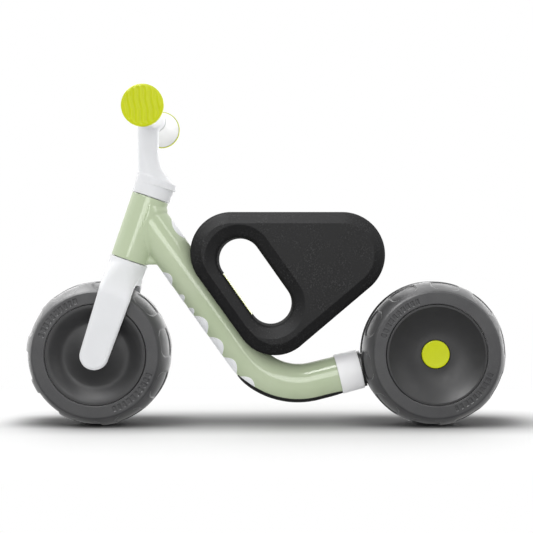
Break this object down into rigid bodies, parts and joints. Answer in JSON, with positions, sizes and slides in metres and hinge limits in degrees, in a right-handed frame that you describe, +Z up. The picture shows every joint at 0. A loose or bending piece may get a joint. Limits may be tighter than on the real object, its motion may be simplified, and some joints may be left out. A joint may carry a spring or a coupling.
{
  "type": "balance bike",
  "caption": "Small toddler balance bike with a bent green tube frame, rounded black foam seat with a slanted hand slot, fat grey wheels and a white fork, stem and flared handlebar.",
  "frame": {"origin": "on the ground under the middle of the wheelbase, in the bike's mid plane", "axes": "+X to the rear wheel, +Y to the far side when the bike is seen facing left, +Z up"},
  "size_m": [0.52, 0.24, 0.356],
  "materials": {
    "frame_paint": "gloss",
    "white_plastic": "satin",
    "white_grip": "satin",
    "lime_plastic": "satin",
    "tyre": "matte",
    "hub_plastic": "satin",
    "seat_foam": "matte closed-cell foam",
    "black_plastic": "matte",
    "black_rubber": "matte",
    "bush_plastic": "matte",
    "steel": "zinc plated"
  },
  "bodies": {
    "frame": {"frame_tube": "frame_paint", "tail_collar": "white_plastic", "rear_carrier": "black_plastic", "underside_guard": "black_rubber", "seat_foam": "seat_foam", "seat_bracket": "steel", "seat_bolts": "steel", "seat_slot_trim": "lime_plastic", "headset_bush_lower": "bush_plastic", "headset_bush_upper": "bush_plastic", "rear_axle": "steel", "rear_nut_left": "steel", "rear_nut_right": "steel"},
    "steering": {"fork": "white_plastic", "steerer_tube": "steel", "steerer_bolt": "steel", "steerer_plug": "steel", "stem": "white_plastic", "handlebar_tube": "steel", "grip_left": "white_grip", "grip_right": "white_grip", "grip_cap_left": "lime_plastic", "grip_cap_right": "lime_plastic", "front_axle": "steel", "front_spacer_left": "bush_plastic", "front_spacer_right": "bush_plastic"},
    "front_wheel": {"front_tyre": "tyre", "front_hub_core": "hub_plastic", "front_disc_left": "hub_plastic", "front_disc_right": "hub_plastic", "front_bush_left": "bush_plastic", "front_bush_right": "bush_plastic"},
    "rear_wheel_left": {"rear_tyre_left": "tyre", "rear_hub_core_left": "hub_plastic", "rear_inner_disc_left": "hub_plastic", "rear_disc_left": "hub_plastic", "rear_bush_left": "bush_plastic", "rear_cap_left": "lime_plastic"},
    "rear_wheel_right": {"rear_tyre_right": "tyre", "rear_hub_core_right": "hub_plastic", "rear_inner_disc_right": "hub_plastic", "rear_disc_right": "hub_plastic", "rear_bush_right": "bush_plastic", "rear_cap_right": "lime_plastic"}
  },
  "joints": [
    {"name": "steering", "type": "hinge", "parent": "frame", "child": "steering", "pos_m": [-0.1502, 0, 0.1797], "axis": [0.3239, 0, 0.9461], "range_deg": [-45, 45]},
    {"name": "front_wheel_spin", "type": "hinge", "parent": "steering", "child": "front_wheel", "pos_m": [-0.182, 0, 0.078], "axis": [0, 1, 0], "continuous": true},
    {"name": "rear_wheel_left_spin", "type": "hinge", "parent": "frame", "child": "rear_wheel_left", "pos_m": [0.182, 0, 0.078], "axis": [0, 1, 0], "continuous": true},
    {"name": "rear_wheel_right_spin", "type": "hinge", "parent": "frame", "child": "rear_wheel_right", "pos_m": [0.182, 0, 0.078], "axis": [0, 1, 0], "continuous": true}
  ]
}
